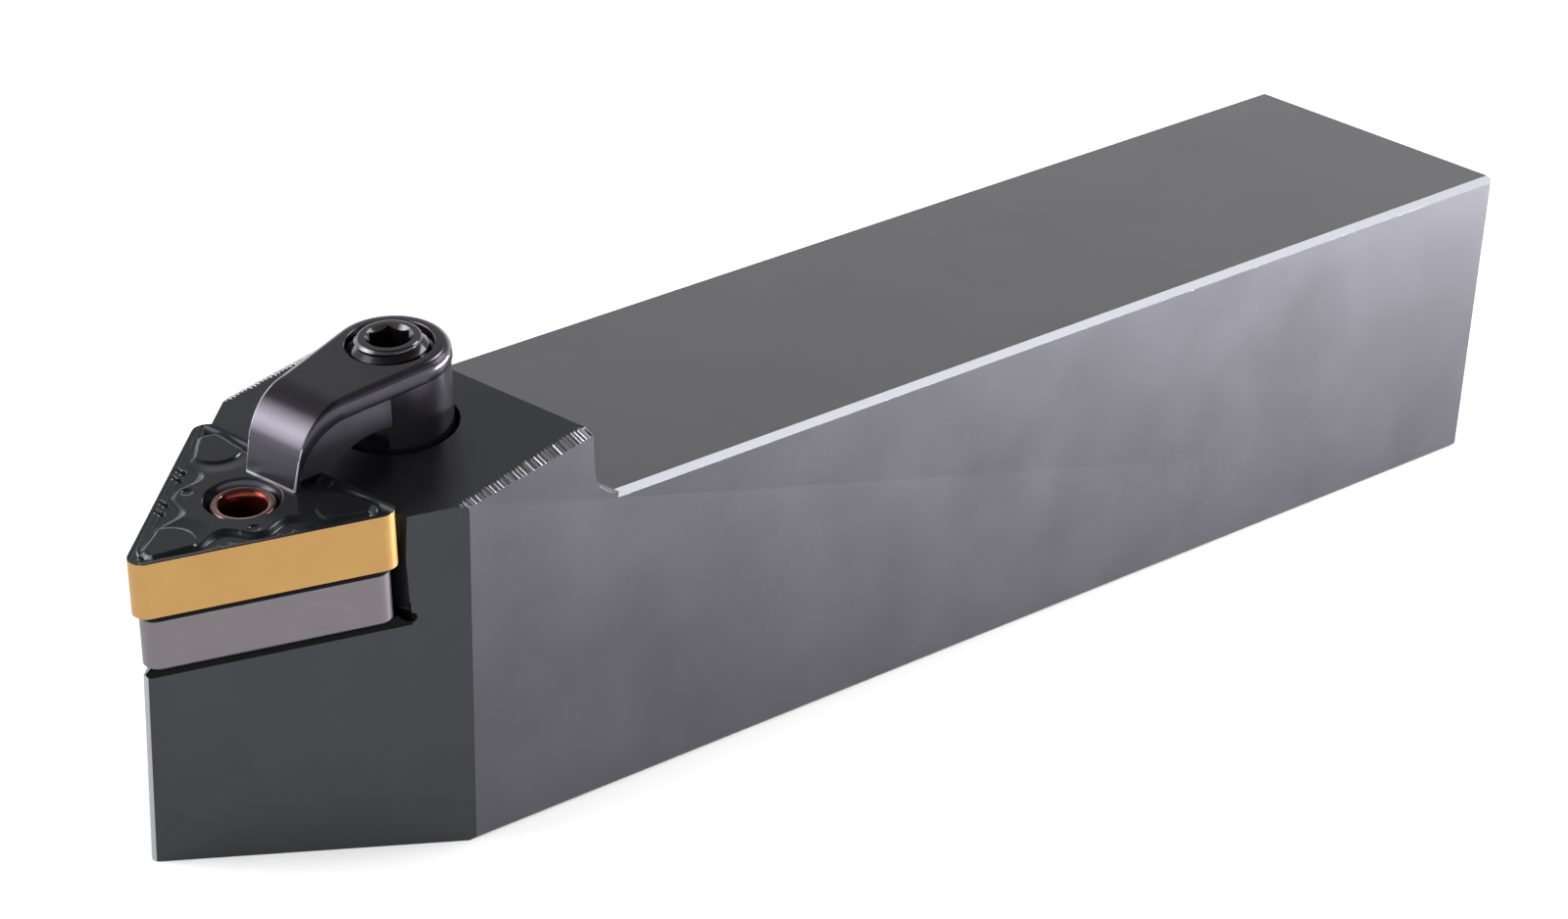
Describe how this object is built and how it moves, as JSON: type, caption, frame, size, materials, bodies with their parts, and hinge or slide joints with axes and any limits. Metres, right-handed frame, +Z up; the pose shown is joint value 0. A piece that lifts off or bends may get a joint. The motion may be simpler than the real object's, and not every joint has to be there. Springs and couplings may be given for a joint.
{
  "type": "turning tool holder",
  "caption": "Square-shank turning tool holder with a neutral nose, a triangular carbide insert on a shim and lock pin, and a screwed finger clamp.",
  "frame": {"origin": "on the base plane, under the middle of the overall length and the middle of the width", "axes": "+X to the rear end of the shank, with the insert's tip at the -X end; +Z up from the base; +Y to the far side"},
  "size_m": [0.1524, 0.0254, 0.0376],
  "materials": {
    "holder_steel": "satin, grey phosphated",
    "shim_carbide": "ground carbide",
    "insert_coating": "coated carbide",
    "pin_steel": "hardened, brown oxide",
    "clamp_steel": "satin, black oxide",
    "screw_steel": "gloss, black oxide"
  },
  "bodies": {
    "holder": {"holder_body": "holder_steel", "shim": "shim_carbide", "insert": "insert_coating", "lock_pin": "pin_steel"},
    "clamp": {"clamp": "clamp_steel"},
    "clamp_screw": {"clamp_screw": "screw_steel"}
  },
  "joints": [
    {"name": "clamp_lift", "type": "slide", "parent": "holder", "child": "clamp", "axis": [-0.1891, 0, 0.982], "range_m": [0, 0.003]},
    {"name": "clamp_screw_turn", "type": "hinge", "parent": "holder", "child": "clamp_screw", "pos_m": [-0.04888, 0, 0.02978], "axis": [-0.1891, 0, 0.982], "range_deg": [0, 540]}
  ],
  "couplings": [
    {"joint": "clamp_screw_turn", "follows": "clamp_lift", "rad_per_m": 3141.6}
  ]
}
